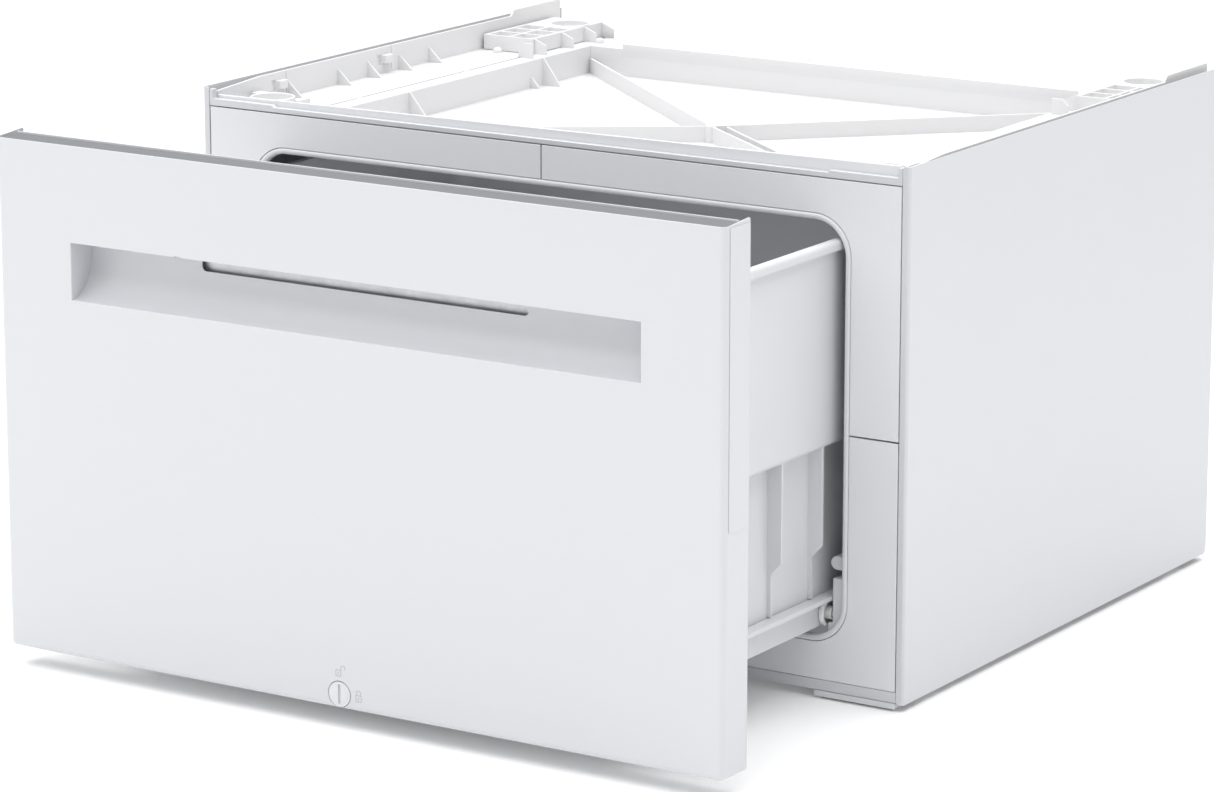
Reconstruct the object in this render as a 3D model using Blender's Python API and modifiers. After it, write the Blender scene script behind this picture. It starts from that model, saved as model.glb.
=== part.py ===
"""A floor-standing plinth for a washing machine, with a pull-out storage drawer.

Axes: +X to the right seen from the front, +Y to the back, +Z up, in metres.
The origin is on the floor, under the middle of the whole object with its drawer half open.
"""

import math

import bmesh
import bpy
from mathutils import Matrix, Vector

# Whole object
WIDTH = 0.598
DEPTH = 0.480  # of the cabinet alone
DRAWER_OPEN = 0.208  # how far the drawer stands open at rest
DRAWER_THICK = 0.030
CLOSED_GAP = 0.002  # between the closed drawer front and the cabinet's face
LENGTH = DEPTH + CLOSED_GAP + DRAWER_OPEN + DRAWER_THICK
BACK = LENGTH / 2
FRONT = BACK - DEPTH  # the cabinet's front face
FACE = -LENGTH / 2  # the drawer's front face
GAP = 0.0003  # left between pieces that touch

# Cabinet
PANEL_LOW, PANEL_HIGH = 0.005, 0.385
SHEET = 0.001
FLANGE = 0.006  # the side panel's return along its front edge
RETURN_HIGH = 0.3452  # top of the side panel's return along its rear edge
BEZEL_HALF, BEZEL_LOW, BEZEL_HIGH = 0.2927, 0.0140, 0.3712
BEZEL_THICK = 0.003
SEAM_Z = 0.192
RAIL_DEEP = 0.0048  # of the folded lip over the bezel
SEAM = 0.0004  # half of the open joint between two bezel quarters
PANEL_RADIUS = 0.0025
RETURN_WIDE = 0.018  # the side panel's return along its rear edge
STEEL_HALF = 0.2965  # half the width between the side panels, where sheet parts end
BACK_SHEET = 0.0012
BACK_LOW, BACK_TOP = 0.032, 0.343
STAMP_HALF, STAMP_LOW, STAMP_TOP, STAMP_DEEP = 0.22, 0.07, 0.31, 0.004
LIP_TOP, LIP_REST, CORNER_TOP, CORNER_HALF = 0.3752, 0.3768, 0.3838, 0.236
SILL_LOW = 0.0061  # underside of everything that stands on the feet
SILL_HALF = 0.2600
FOOT_IN, FOOT_OUT, FOOT_LONG = 0.2280, 0.2925, 0.061
FOOT_LOW, FOOT_HIGH, PAD_TOP, PAD_INSET = 0.0017, 0.0058, 0.0014, 0.004
TRIM_HALF, TRIM_LOW, TRIM_HIGH, TRIM_RADIUS = 0.2533, 0.0412, 0.3458, 0.029
TRIM_LIP = 0.0043
TRIM_DEPTH = 0.0052

# Top tray, where the washing machine stands
TRAY_FLOOR = 0.342
TRAY_EDGE = 0.364  # level of the strips beside the sunk middle
TRAY_BACK = FRONT + 0.419
TRAY_HALF = 0.228
SEAT_TOP = 0.3763
RIB_TOP = 0.354
RIB_CROSSING = (0.015, FRONT + 0.208)
RIB_END = FRONT + 0.045  # where the ribs meet the side walls in front
RIB_TWIN = 0.009  # between the two ribs that run to the front right corner
WALL = 0.0022
DECK_STEP = 0.0180  # how far behind its front wall the tray is stepped up
LEDGE = 0.0018
LEDGE_HALF, LEDGE_BEHIND = 0.2415, 0.033
SILL_LEFT, SILL_RIGHT = 0.3792, 0.3842  # the front wall's top edge, at its two ends
SIDE_IN, SIDE_WALL_IN, SIDE_WALL_OUT = 0.2435, 0.2905, 0.2925
SIDE_TOP, TAB_TOP, TAB_START = 0.3846, 0.3892, FRONT + 0.400
GUSSETS = (0.095, 0.1595, 0.1990, 0.2410, 0.2820)  # behind the cabinet's front face
GUSSET_LONG, GUSSET_HIGH, GUSSET_THICK = 0.0130, 0.0125, 0.0016
SEAT_IN, SEAT_OUT = 0.2410, 0.2880
SEAT_CUP_R, SEAT_CUP_FLOOR = 0.0150, 0.003
REAR_CUP = (0.2575, FRONT + 0.4350)
FRONT_CUP = (0.2600, FRONT + 0.0340)

# Drawer
FACE_HALF, FACE_LOW, FACE_HIGH = 0.2985, 0.0145, 0.3865
SKIN = 0.0015
GRIP_HALF, GRIP_LOW, GRIP_HIGH, GRIP_DEPTH = 0.234, 0.275, 0.3155, 0.0235
TUB_FRONT, TUB_BACK = FACE + DRAWER_THICK + GAP, FRONT + 0.255
TUB_LOW, TUB_STEP, TUB_RIM_LOW, TUB_HIGH = 0.052, 0.1837, 0.3215, 0.3290
TUB_LOWER_HALF, TUB_HALF, TUB_RIM_HALF = 0.228, 0.240, 0.2450
TUB_FRONT_LEAN = 0.12  # the front wall steps by this share of what the side walls do
TUB_WALL = 0.0025
RIB_PITCH = 0.055
RIB_THICK = 0.0024

# Running gear
RAIL_LOW, RAIL_UNDER, RAIL_TOP = 0.0513, 0.0705, 0.0738
ROLLER_R, ROLLER_Z = 0.0100, 0.0602
ROLLER_X = (0.2297, 0.2368)
TREAD = 0.0038  # how much of the front roller's length is its wheel; the rest is its hub
HUB_R = 0.0050
FRONT_ROLLER_Y = FRONT + 0.011
REAR_ROLLER_Y = FRONT + 0.238
REAR_ROLLER_X = (0.2420, 0.2500)
AXLE_R = 0.003
AXLE_PLAY = 0.0003
RUNNER_UNDER, RUNNER_OVER = 0.0499, 0.0705
RUNNER_IN, RUNNER_WEB, RUNNER_SHEET = 0.2410, 0.2530, 0.0015
STEEL_IN = 0.2600  # how far out the opening's fittings reach behind the bezel
BRACKET_IN, BRACKET_STEP_IN, BRACKET_STEP = 0.2388, 0.2352, 0.0545
BRACKET_LOW, BRACKET_HIGH, BRACKET_LONG = 0.0415, 0.0870, 0.013
PEG_X, PEG_Z, PEG_R = 0.2405, 0.0975, 0.0050
RAIL_IN, RAIL_OUT = 0.2293, 0.2382

# Lock
LOCK_X, LOCK_Z = -0.009, 0.025
KNOB_R = 0.009
HEAD_LONG, HEAD_WIDE = 0.016, 0.0042
SPINDLE_R = 0.0035
KNOB_THICK, KNOB_GROOVE, KNOB_GROOVE_LONG = 0.0020, 0.0010, 0.015
LOCK_PLAY = 0.001  # round the cross bar, where it passes the bezel

PAINT = (0.80, 0.81, 0.83, 1)
PLASTIC = (0.86, 0.86, 0.87, 1)
GREY = (0.38, 0.39, 0.40, 1)
RUBBER = (0.03, 0.03, 0.03, 1)
STEEL = (0.55, 0.56, 0.58, 1)

PARTS = "drawer_plinth"
HELPERS = "cutters"
LONG_AXIS = {
    "X": Matrix(((0, 0, 1), (1, 0, 0), (0, 1, 0))),
    "Y": Matrix(((1, 0, 0), (0, 0, -1), (0, 1, 0))),
    "Z": Matrix.Identity(3),
}


def clear_scene():
    for obj in list(bpy.data.objects):
        bpy.data.objects.remove(obj)
    for name in (PARTS, HELPERS):
        bpy.context.scene.collection.children.link(bpy.data.collections.new(name))


def material(name, colour, roughness=0.4, metallic=0.0):
    made = bpy.data.materials.new(name)
    made.use_nodes = True
    shader = made.node_tree.nodes["Principled BSDF"]
    shader.inputs["Base Color"].default_value = colour
    shader.inputs["Roughness"].default_value = roughness
    shader.inputs["Metallic"].default_value = metallic
    return made


def finish(obj, colour, roughness=0.4, metallic=0.0):
    """Gives a piece its own material, and smooth shading between its sharp edges."""
    obj.data.materials.clear()
    obj.data.materials.append(material(obj.name, colour, roughness, metallic))
    obj.data.shade_smooth()
    obj.data.set_sharp_from_angle(angle=math.radians(30))
    return obj


def add(name, mesh, collection=PARTS):
    obj = bpy.data.objects.new(name, mesh)
    bpy.data.collections[collection].objects.link(obj)
    return obj


def settle(obj):
    """Puts the evaluated mesh in place of the object's modifiers."""
    graph = bpy.context.evaluated_depsgraph_get()
    obj.data = bpy.data.meshes.new_from_object(obj.evaluated_get(graph))
    obj.modifiers.clear()
    return obj


def block(name, low, high):
    """A box between two opposite corners."""
    mesh = bpy.data.meshes.new(name)
    bm = bmesh.new()
    bmesh.ops.create_cube(bm, size=1)
    size = Vector(high) - Vector(low)
    middle = (Vector(high) + Vector(low)) / 2
    bmesh.ops.scale(bm, vec=size, verts=bm.verts)
    bm.to_mesh(mesh)
    bm.free()
    obj = add(name, mesh)
    obj.location = middle
    return obj


def prism(name, outline, start, end, axis):
    """A flat outline drawn out along one axis, between two places on it."""
    curve = bpy.data.curves.new(name, "CURVE")
    curve.dimensions = "2D"
    curve.fill_mode = "BOTH"
    curve.extrude = (end - start) / 2
    spline = curve.splines.new("POLY")
    spline.points.add(len(outline) - 1)
    for point, (u, v) in zip(spline.points, outline):
        point.co = (u, v, 0, 1)
    spline.use_cyclic_u = True
    turn = LONG_AXIS[axis]
    middle = (start + end) / 2 * (-1 if axis == "Y" else 1)
    drawn = add(name + "_outline", curve)
    drawn.matrix_world = Matrix.Translation(turn @ Vector((0, 0, middle))) @ turn.to_4x4()
    graph = bpy.context.evaluated_depsgraph_get()
    mesh = bpy.data.meshes.new_from_object(drawn.evaluated_get(graph))
    bm = bmesh.new()
    bm.from_mesh(mesh)
    bmesh.ops.remove_doubles(bm, verts=bm.verts, dist=1e-6)
    bmesh.ops.recalc_face_normals(bm, faces=bm.faces)
    bm.to_mesh(mesh)
    bm.free()
    obj = add(name, mesh)
    obj.matrix_world = drawn.matrix_world
    bpy.data.objects.remove(drawn)
    return obj


def cylinder(name, radius, start, end, axis, at, steps=24):
    """A round bar along one axis; at holds its other two coordinates, in X, Y, Z order."""
    mesh = bpy.data.meshes.new(name)
    bm = bmesh.new()
    bmesh.ops.create_cone(
        bm, cap_ends=True, segments=steps, radius1=radius, radius2=radius, depth=end - start
    )
    bm.to_mesh(mesh)
    bm.free()
    obj = add(name, mesh)
    obj.rotation_euler = {"X": (0, math.pi / 2, 0), "Y": (math.pi / 2, 0, 0), "Z": (0, 0, 0)}[axis]
    place = list(at)
    place.insert("XYZ".index(axis), (start + end) / 2)
    obj.location = place
    return obj


def turned(name, profile, axis, location, steps=28):
    """A closed profile of (radius, height) turned about an axis."""
    mesh = bpy.data.meshes.new(name)
    corners = range(len(profile))
    edges = [(i, (i + 1) % len(profile)) for i in corners]
    mesh.from_pydata([(r, 0, h) for r, h in profile], edges, [])
    obj = add(name, mesh)
    screw = obj.modifiers.new("turn", "SCREW")
    screw.axis = "Z"
    screw.steps = screw.render_steps = steps
    screw.use_merge_vertices = True
    screw.merge_threshold = 1e-5
    obj.rotation_euler = {"X": (0, math.pi / 2, 0), "Y": (math.pi / 2, 0, 0), "Z": (0, 0, 0)}[axis]
    obj.location = location
    return obj


def loft(name, loops, closed=False):
    """Skins equal-sized loops of points; ends are capped unless the loops close on themselves."""
    bm = bmesh.new()
    rings = [[bm.verts.new(point) for point in loop] for loop in loops]
    pairs = list(zip(rings, rings[1:]))
    if closed:
        pairs.append((rings[-1], rings[0]))
    count = len(rings[0])
    for lower, upper in pairs:
        for i in range(count):
            j = (i + 1) % count
            bm.faces.new((lower[i], lower[j], upper[j], upper[i]))
    if not closed:
        bm.faces.new(list(reversed(rings[0])))
        bm.faces.new(rings[-1])
    bmesh.ops.recalc_face_normals(bm, faces=bm.faces)
    mesh = bpy.data.meshes.new(name)
    bm.to_mesh(mesh)
    bm.free()
    return add(name, mesh)


def boolean(base, tool, operation):
    change = base.modifiers.new(operation, "BOOLEAN")
    change.operation = operation
    change.object = tool
    settle(base)
    bpy.data.objects.remove(tool)


def cut(base, *tools):
    for tool in tools:
        boolean(base, tool, "DIFFERENCE")
    return base


def fuse(base, *tools):
    for tool in tools:
        boolean(base, tool, "UNION")
    return base


def arc(centre, radius, start, end, steps=6):
    """Points on an arc, from one angle to another, in degrees."""
    angles = [math.radians(start + (end - start) * i / steps) for i in range(steps + 1)]
    return [(centre[0] + radius * math.cos(a), centre[1] + radius * math.sin(a)) for a in angles]


def rounded(left, right, low, high, radius, steps=6):
    """A rectangle with rounded corners, anticlockwise."""
    r = radius
    return (
        arc((right - r, low + r), r, -90, 0, steps)
        + arc((right - r, high - r), r, 0, 90, steps)
        + arc((left + r, high - r), r, 90, 180, steps)
        + arc((left + r, low + r), r, 180, 270, steps)
    )


def slot(x0, x1, y0, y1, z0, z1):
    """A box given by its two limits along each axis, ordered or not."""
    low = (min(x0, x1), min(y0, y1), min(z0, z1))
    high = (max(x0, x1), max(y0, y1), max(z0, z1))
    return block("tool", low, high)


def both_sides(make):
    """Makes a piece on the left and on the right; make takes the side's name and its sign."""
    return [make(name, sign) for name, sign in (("left", -1), ("right", 1))]


# ---------------------------------------------------------------- cabinet


def side_panel(side, s):
    """A steel side skin, with a rounded return along its front edge and one at the back."""
    outer = WIDTH / 2
    corner = arc((outer - PANEL_RADIUS, FRONT + PANEL_RADIUS), PANEL_RADIUS, -90, 0, 4)
    path = [(outer - FLANGE, FRONT)] + corner
    path += [(outer, BACK), (outer - RETURN_WIDE, BACK)]
    mesh = bpy.data.meshes.new("side_panel_" + side)
    bm = bmesh.new()
    rows = [[bm.verts.new((s * x, y, z)) for x, y in path] for z in (PANEL_LOW, PANEL_HIGH)]
    for i in range(len(path) - 1):
        bm.faces.new((rows[0][i], rows[0][i + 1], rows[1][i + 1], rows[1][i])[::s])
    bm.to_mesh(mesh)
    bm.free()
    obj = add("side_panel_" + side, mesh)
    skin = obj.modifiers.new("skin", "SOLIDIFY")
    skin.thickness = SHEET
    skin.offset = -1
    skin.use_even_offset = True
    settle(obj)
    inside = outer - SHEET - 0.0002
    cut(obj, slot(s * (outer - 0.030), s * inside, BACK - 0.005, BACK + 0.005,
                  RETURN_HIGH, PANEL_HIGH + 0.01))
    return finish(obj, PAINT, 0.25)


def back_panel():
    """The rear sheet, with one large shallow stamping."""
    y = BACK - SHEET - GAP - BACK_SHEET - 0.0001
    panel = block("back_panel", (-STEEL_HALF, y, BACK_LOW), (STEEL_HALF, y + BACK_SHEET, BACK_TOP))
    pan = block("stamp", (-STAMP_HALF, y - STAMP_DEEP, STAMP_LOW),
                (STAMP_HALF, y + BACK_SHEET / 2, STAMP_TOP))
    return finish(fuse(panel, pan), STEEL, 0.4, 0.6)


def bezel_outline(s, up):
    """One quarter of the face around the opening, as (x, z) points."""
    r = TRIM_RADIUS
    outer, inner = BEZEL_HALF, TRIM_HALF + GAP
    edge, lip = (BEZEL_HIGH, TRIM_HIGH + GAP) if up else (BEZEL_LOW, TRIM_LOW - GAP)
    way = 1 if up else -1
    seam = SEAM_Z + way * SEAM
    start, end = (0, 90) if up else (0, -90)
    bend = arc((inner - r, lip - way * r), r, start, end, 8)
    points = [(outer, seam), (outer, edge), (SEAM, edge), (SEAM, lip)]
    points += bend[::-1] + [(inner, seam)]
    return [(s * x, z) for x, z in points]


def bezel():
    for side, s in (("left", -1), ("right", 1)):
        for level, up in (("upper", True), ("lower", False)):
            name = f"bezel_{level}_{side}"
            piece = prism(name, bezel_outline(s, up), FRONT, FRONT + BEZEL_THICK, "Y")
            if name == "bezel_lower_left":
                half = HEAD_LONG / 2 + LOCK_PLAY
                wide = HEAD_WIDE / 2 + LOCK_PLAY
                cut(
                    piece,
                    slot(LOCK_X - wide, LOCK_X + wide, FRONT - 0.01, FRONT + 0.01,
                         LOCK_Z - half, LOCK_Z + half),
                    cylinder("tool", SPINDLE_R + 0.0008, FRONT - 0.01, FRONT + 0.01, "Y", (LOCK_X, LOCK_Z)),
                )
            finish(piece, PAINT, 0.35)


def opening_trim():
    """The rounded frame that lines the drawer's opening."""
    front, back = FRONT - 0.0008, FRONT + TRIM_DEPTH
    outer = rounded(-TRIM_HALF, TRIM_HALF, TRIM_LOW, TRIM_HIGH, TRIM_RADIUS, 8)
    inside = TRIM_HALF - TRIM_LIP
    inner = rounded(-inside, inside, TRIM_LOW + TRIM_LIP, TRIM_HIGH - TRIM_LIP,
                    TRIM_RADIUS - TRIM_LIP, 8)
    loops = [[(x, y, z) for x, z in ring] for ring, y in
             ((outer, front), (inner, front), (inner, back), (outer, back))]
    return finish(loft("opening_trim", loops, closed=True), PLASTIC, 0.35)


def top_front_rail():
    """The steel lip over the bezel, cut away above so that the tray's front edge shows."""
    low, rise = BEZEL_HIGH + GAP, BEZEL_HALF - 0.0032
    right = [(BEZEL_HALF, low), (BEZEL_HALF, CORNER_TOP), (rise, CORNER_TOP), (rise, LIP_REST),
             (CORNER_HALF, LIP_REST), (CORNER_HALF - 0.002, LIP_TOP)]
    outline = right + [(-x, z) for x, z in reversed(right)]
    plate = prism("top_front_rail", outline, FRONT, FRONT + RAIL_DEEP, "Y")
    web = slot(-0.2880, 0.2880, FRONT + BEZEL_THICK + GAP, FRONT + RAIL_DEEP - 0.0001, 0.3495, 0.3735)
    return finish(fuse(plate, web), PAINT, 0.3)


def bottom_front_rail():
    """The folded sill under the bezel, which stands on the two front feet."""
    sheet = FRONT + 0.0015
    rail = slot(-BEZEL_HALF, BEZEL_HALF, FRONT, sheet, SILL_LOW, BEZEL_LOW - GAP)
    rail.name = "bottom_front_rail"
    shelf = slot(-0.22, 0.22, FRONT + 0.001, FRONT + 0.026, 0.0072, 0.0086)
    return finish(fuse(rail, shelf), PAINT, 0.3)


def rear_rails():
    """Two folded rails across the back, one over and one under the rear sheet."""
    deep, sheet = BACK - 0.032, 0.0015
    top = slot(-STEEL_HALF, STEEL_HALF, deep, BACK - 0.0045, 0.3455, 0.3455 + sheet)
    drop = slot(-STEEL_HALF, STEEL_HALF, BACK - 0.0045 - sheet, BACK - 0.0045, 0.3455, 0.3600)
    top.name = "rear_top_rail"
    finish(fuse(top, drop), STEEL, 0.4, 0.6)
    rear = BACK - SHEET - GAP
    sill = slot(-SILL_HALF, SILL_HALF, deep, rear, SILL_LOW, SILL_LOW + sheet)
    web = slot(-SILL_HALF, SILL_HALF, rear - sheet, rear, SILL_LOW, 0.0310)
    sill.name = "rear_sill"
    finish(fuse(sill, web), STEEL, 0.4, 0.6)


def side_sill(side, s):
    """A floor channel along each side, which carries the runner and the feet."""
    y0, y1 = FRONT + 0.028, BACK - 0.036
    inside, sheet = SILL_HALF + 0.002, 0.0017
    base = slot(s * inside, s * (WIDTH / 2 - SHEET - 0.0005), y0, y1, SILL_LOW, SILL_LOW + sheet)
    inner = slot(s * inside, s * (inside + sheet), y0, y1, SILL_LOW, 0.0400)
    base.name = "side_sill_" + side
    return finish(fuse(base, inner), STEEL, 0.4, 0.6)


def foot(end, side, s):
    """A flat glide under each corner, on a rubber pad."""
    x0, x1 = s * FOOT_IN, s * FOOT_OUT
    y0 = FRONT - 0.0012 if end == "front" else BACK - 0.004 - FOOT_LONG
    y1 = y0 + FOOT_LONG
    glide = slot(x0, x1, y0, y1, FOOT_LOW, FOOT_HIGH)
    glide.name = f"foot_{end}_{side}"
    finish(glide, PLASTIC, 0.4)
    inset = PAD_INSET
    pad = slot(x0 + s * inset, x1 - s * inset, y0 + inset, y1 - inset, 0, PAD_TOP)
    pad.name = f"foot_pad_{end}_{side}"
    finish(pad, RUBBER, 0.8)


# ---------------------------------------------------------------- top tray


def rib(start, end, low, high, thick=0.002):
    """A straight upright wall between two points in plan."""
    start, end = Vector(start), Vector(end)
    along = (end - start).normalized()
    side = Vector((-along.y, along.x)) * thick / 2
    outline = [start - side, end - side, end + side, start + side]
    return prism("tool", [tuple(p) for p in outline], low, high, "Z")


def deck_edge(front):
    """The tray's front wall, whose top edge falls a little from right to left."""
    low = TRIM_HIGH + 0.0007
    half = SEAT_OUT + 0.001
    outline = [(-half, SILL_LEFT), (-half, low), (half, low), (half, SILL_RIGHT)]
    return prism("tool", outline, front, front + WALL, "Y")


def top_tray():
    """The sunk plastic deck between the side members, stiffened by a cross of ribs."""
    bottom = TRAY_FLOOR - 0.0024
    step = TRIM_HIGH + 0.0007
    front, back = FRONT + RAIL_DEEP + 0.0004, TRAY_BACK
    deck = front + DECK_STEP
    tray = slot(-TRAY_HALF, TRAY_HALF, deck, back, bottom, TRAY_FLOOR)
    tray.name = "top_tray"
    fuse(
        tray,
        slot(-TRAY_HALF, TRAY_HALF, deck, deck + WALL, bottom, step + WALL),
        slot(-TRAY_HALF, TRAY_HALF, front + 0.001, deck + WALL - 0.0001, step + 0.0001, step + WALL),
        deck_edge(front),
    )
    for s in (-1, 1):
        fuse(
            tray,
            slot(s * TRAY_HALF, s * (TRAY_HALF - 0.002), deck + 0.001, back, bottom, TRAY_EDGE),
            slot(s * TRAY_HALF, s * (TRAY_HALF - 0.002), front + 0.001, deck + 0.002, step, TRAY_EDGE),
            slot(s * (TRAY_HALF - 0.001), s * LEDGE_HALF, front + 0.001, back + LEDGE_BEHIND,
                 TRAY_EDGE - LEDGE, TRAY_EDGE),
        )
    fuse(
        tray,
        slot(-TRAY_HALF, TRAY_HALF, back - WALL, back, bottom, TRAY_EDGE),
        slot(-0.195, 0.2115, back - WALL, back, TRAY_EDGE - 0.005, TRAY_EDGE + 0.004),
        slot(-0.235, 0.235, back - 0.001, back + LEDGE_BEHIND, TRAY_EDGE - LEDGE, TRAY_EDGE),
    )
    cx, cy = RIB_CROSSING
    low = TRAY_FLOOR - 0.001
    edge = TRAY_HALF - 0.001
    ends = ((-edge, back - 0.001), (edge, back - 0.001), (-edge, RIB_END), (edge, RIB_END))
    for end in ends:
        fuse(tray, rib((cx, cy), end, low, RIB_TOP))
    twin = rib((cx + RIB_TWIN, cy + 0.008), (edge, RIB_END + RIB_TWIN), low, RIB_TOP - 0.001)
    fuse(tray, twin)
    return finish(tray, PLASTIC, 0.4)


def tray_side(side, s):
    """The side member: a strip beside the deck, an outer wall, gussets and a tall rear tab."""
    name = "tray_side_" + side
    front = FRONT + RAIL_DEEP + 0.0004 + WALL + GAP
    strip = slot(s * SIDE_IN, s * STEEL_HALF, front, BACK - 0.007, TRAY_EDGE - WALL, TRAY_EDGE)
    strip.name = name
    back, low = BACK - 0.0080, TRAY_EDGE - 0.001
    outline = [(front, low), (back, low), (back, TAB_TOP), (TAB_START + 0.004, TAB_TOP),
               (TAB_START, SIDE_TOP), (FRONT + 0.060, SIDE_TOP), (front, 0.3815)]
    start, end = sorted((s * SIDE_WALL_IN, s * SIDE_WALL_OUT))
    fuse(strip, prism("tool", outline, start, end, "X"))
    for behind in GUSSETS:
        y = FRONT + behind
        x0 = s * (SIDE_WALL_IN + 0.0005)
        corners = [(x0, low), (x0 - s * GUSSET_LONG, low), (x0, TRAY_EDGE + GUSSET_HIGH)]
        fuse(strip, prism("tool", corners[::s], y, y + GUSSET_THICK, "Y"))
    return finish(strip, PLASTIC, 0.4)


def rear_seat(side, s):
    """The block behind each corner that carries a rear foot, lightened by square pockets."""
    low = TRAY_EDGE + GAP
    seat = slot(s * SEAT_IN, s * SEAT_OUT, FRONT + 0.3560, FRONT + 0.4580, low, SEAT_TOP)
    seat.name = "rear_seat_" + side
    wide, long, pitch = 0.0175, 0.0160, 0.0185
    for column in (0.2470, 0.2670):
        for row in range(3):
            y = FRONT + 0.3590 + pitch * row
            cut(seat, slot(s * column, s * (column + wide), y, y + long, low + 0.002, 0.4))
    x, y = REAR_CUP
    cut(seat, cylinder("tool", SEAT_CUP_R, low + SEAT_CUP_FLOOR, 0.4, "Z", (s * x, y)))
    return finish(seat, PLASTIC, 0.4)


def front_seat(side, s):
    """The smaller block that carries a front foot."""
    low = TRAY_EDGE + GAP
    seat = slot(s * SEAT_IN, s * SEAT_OUT, FRONT + 0.0100, FRONT + 0.0560, low, SEAT_TOP)
    seat.name = "front_seat_" + side
    x, y = FRONT_CUP
    cut(seat, cylinder("tool", SEAT_CUP_R, low + SEAT_CUP_FLOOR, 0.4, "Z", (s * x, y)))
    return finish(seat, PLASTIC, 0.4)


# ---------------------------------------------------------------- running gear


def runner(side, s):
    """The cabinet's channel, in which the drawer's rear roller runs."""
    y0, y1 = FRONT + 0.034, BACK - 0.0100
    sheet, inside, bend = RUNNER_SHEET, s * RUNNER_IN, s * (RUNNER_WEB + 0.001)
    low, high = RUNNER_UNDER - sheet, RUNNER_OVER + sheet
    web = slot(s * RUNNER_WEB, s * (RUNNER_WEB + sheet), y0, y1, low, high)
    web.name = "runner_" + side
    fuse(
        web,
        slot(inside, bend, y0, y1, low, RUNNER_UNDER),
        slot(inside, bend, y0, y1, RUNNER_OVER, high),
    )
    for y in (y0 + 0.030, y1 - 0.060):
        fuse(web, slot(bend, s * 0.2976, y, y + 0.030, 0.0600, 0.0600 + sheet))
    return finish(web, STEEL, 0.35, 0.6)


def roller_bracket(side, s):
    """The plastic block inside the opening's lower corner that holds the front roller."""
    y0 = FRONT + TRIM_DEPTH + GAP
    outline = [(BRACKET_STEP_IN, BRACKET_LOW), (STEEL_IN, BRACKET_LOW), (STEEL_IN, BRACKET_HIGH),
               (BRACKET_IN, BRACKET_HIGH), (BRACKET_IN, BRACKET_STEP),
               (BRACKET_STEP_IN, BRACKET_STEP)]
    outline = [(s * x, z) for x, z in outline]
    bracket = prism("roller_bracket_" + side, outline, y0, y0 + BRACKET_LONG, "Y")
    return finish(bracket, PLASTIC, 0.35)


def front_roller(side, s):
    """The wheel that the drawer's rail rides on, and the pin through it."""
    half = (ROLLER_X[1] - ROLLER_X[0]) / 2
    middle = s * (ROLLER_X[0] + ROLLER_X[1]) / 2
    bore = AXLE_R + AXLE_PLAY
    edge = 0.0010
    rim = TREAD - half
    profile = [(bore, half), (HUB_R, half), (HUB_R, rim), (ROLLER_R - edge, rim),
               (ROLLER_R, rim - edge), (ROLLER_R, edge - half), (ROLLER_R - edge, -half),
               (bore, -half)]
    if s < 0:
        profile = [(r, -h) for r, h in reversed(profile)]
    wheel = turned("front_roller_" + side, profile, "X", (middle, FRONT_ROLLER_Y, ROLLER_Z))
    finish(settle(wheel), PLASTIC, 0.35)
    start, end = sorted((s * RAIL_IN, s * RAIL_OUT))
    pin = cylinder("front_axle_" + side, AXLE_R, start, end, "X", (FRONT_ROLLER_Y, ROLLER_Z))
    finish(pin, STEEL, 0.3, 0.8)


def guide_peg(side, s):
    """A round-nosed stop over the roller, which keeps the drawer from tipping."""
    nose = arc((PEG_X, PEG_Z), PEG_R, 90, 270, 8)
    outline = [(STEEL_IN, PEG_Z + PEG_R)] + nose + [(STEEL_IN, PEG_Z - PEG_R)]
    outline = [(s * x, z) for x, z in outline]
    return finish(prism("guide_peg_" + side, outline, FRONT + 0.008, FRONT + 0.028, "Y"), PLASTIC, 0.35)


# ---------------------------------------------------------------- drawer


def drawer_front():
    """The drawer's steel face: an open-backed pan with returns at its sides and bottom."""
    mesh = bpy.data.meshes.new("drawer_front")
    bm = bmesh.new()
    bmesh.ops.create_cube(bm, size=1)
    size = Vector((2 * FACE_HALF, DRAWER_THICK, FACE_HIGH - FACE_LOW))
    middle = Vector((0, FACE + DRAWER_THICK / 2, (FACE_HIGH + FACE_LOW) / 2))
    bmesh.ops.scale(bm, vec=size, verts=bm.verts)
    bmesh.ops.translate(bm, vec=middle, verts=bm.verts)
    open_faces = [f for f in bm.faces if f.normal.y > 0.9 or f.normal.z > 0.9]
    bmesh.ops.delete(bm, geom=open_faces, context="FACES_ONLY")
    folds = [e for e in bm.edges if len(e.link_faces) == 2]
    bmesh.ops.bevel(bm, geom=folds, offset=0.0045, segments=4, profile=0.5, affect="EDGES")
    bm.to_mesh(mesh)
    bm.free()
    face = add("drawer_front", mesh)
    skin = face.modifiers.new("skin", "SOLIDIFY")
    skin.thickness = SKIN
    skin.offset = -1
    skin.use_even_offset = True
    settle(face)
    inside = FACE_HALF - SKIN - 0.0008
    cut(
        face,
        slot(-inside, inside, FACE - 0.01, FACE + 0.006, FACE_HIGH - 0.0020, FACE_HIGH + 0.01),
        slot(-GRIP_HALF, GRIP_HALF, FACE - 0.01, FACE + 0.006, GRIP_LOW, GRIP_HIGH),
        cylinder("tool", KNOB_R + 0.0004, FACE - 0.01, FACE + 0.006, "Y", (LOCK_X, LOCK_Z)),
    )
    return finish(face, PAINT, 0.25)


def top_strip():
    """The grey strip that closes the top of the drawer front, with a low upstand behind."""
    half = FACE_HALF - SKIN - GAP - 0.0010
    y0, y1 = FACE + SKIN + 0.0010, FACE + 0.0215
    high = FACE_HIGH - 0.0022
    outline = [(y0, high), (y0, high - 0.0015), (y1, high - 0.0015), (y1, high + 0.0015),
               (y1 - 0.0012, high + 0.0015), (y1 - 0.0012, high)]
    return finish(prism("top_strip", outline, -half, half, "X"), GREY, 0.3)


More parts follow.
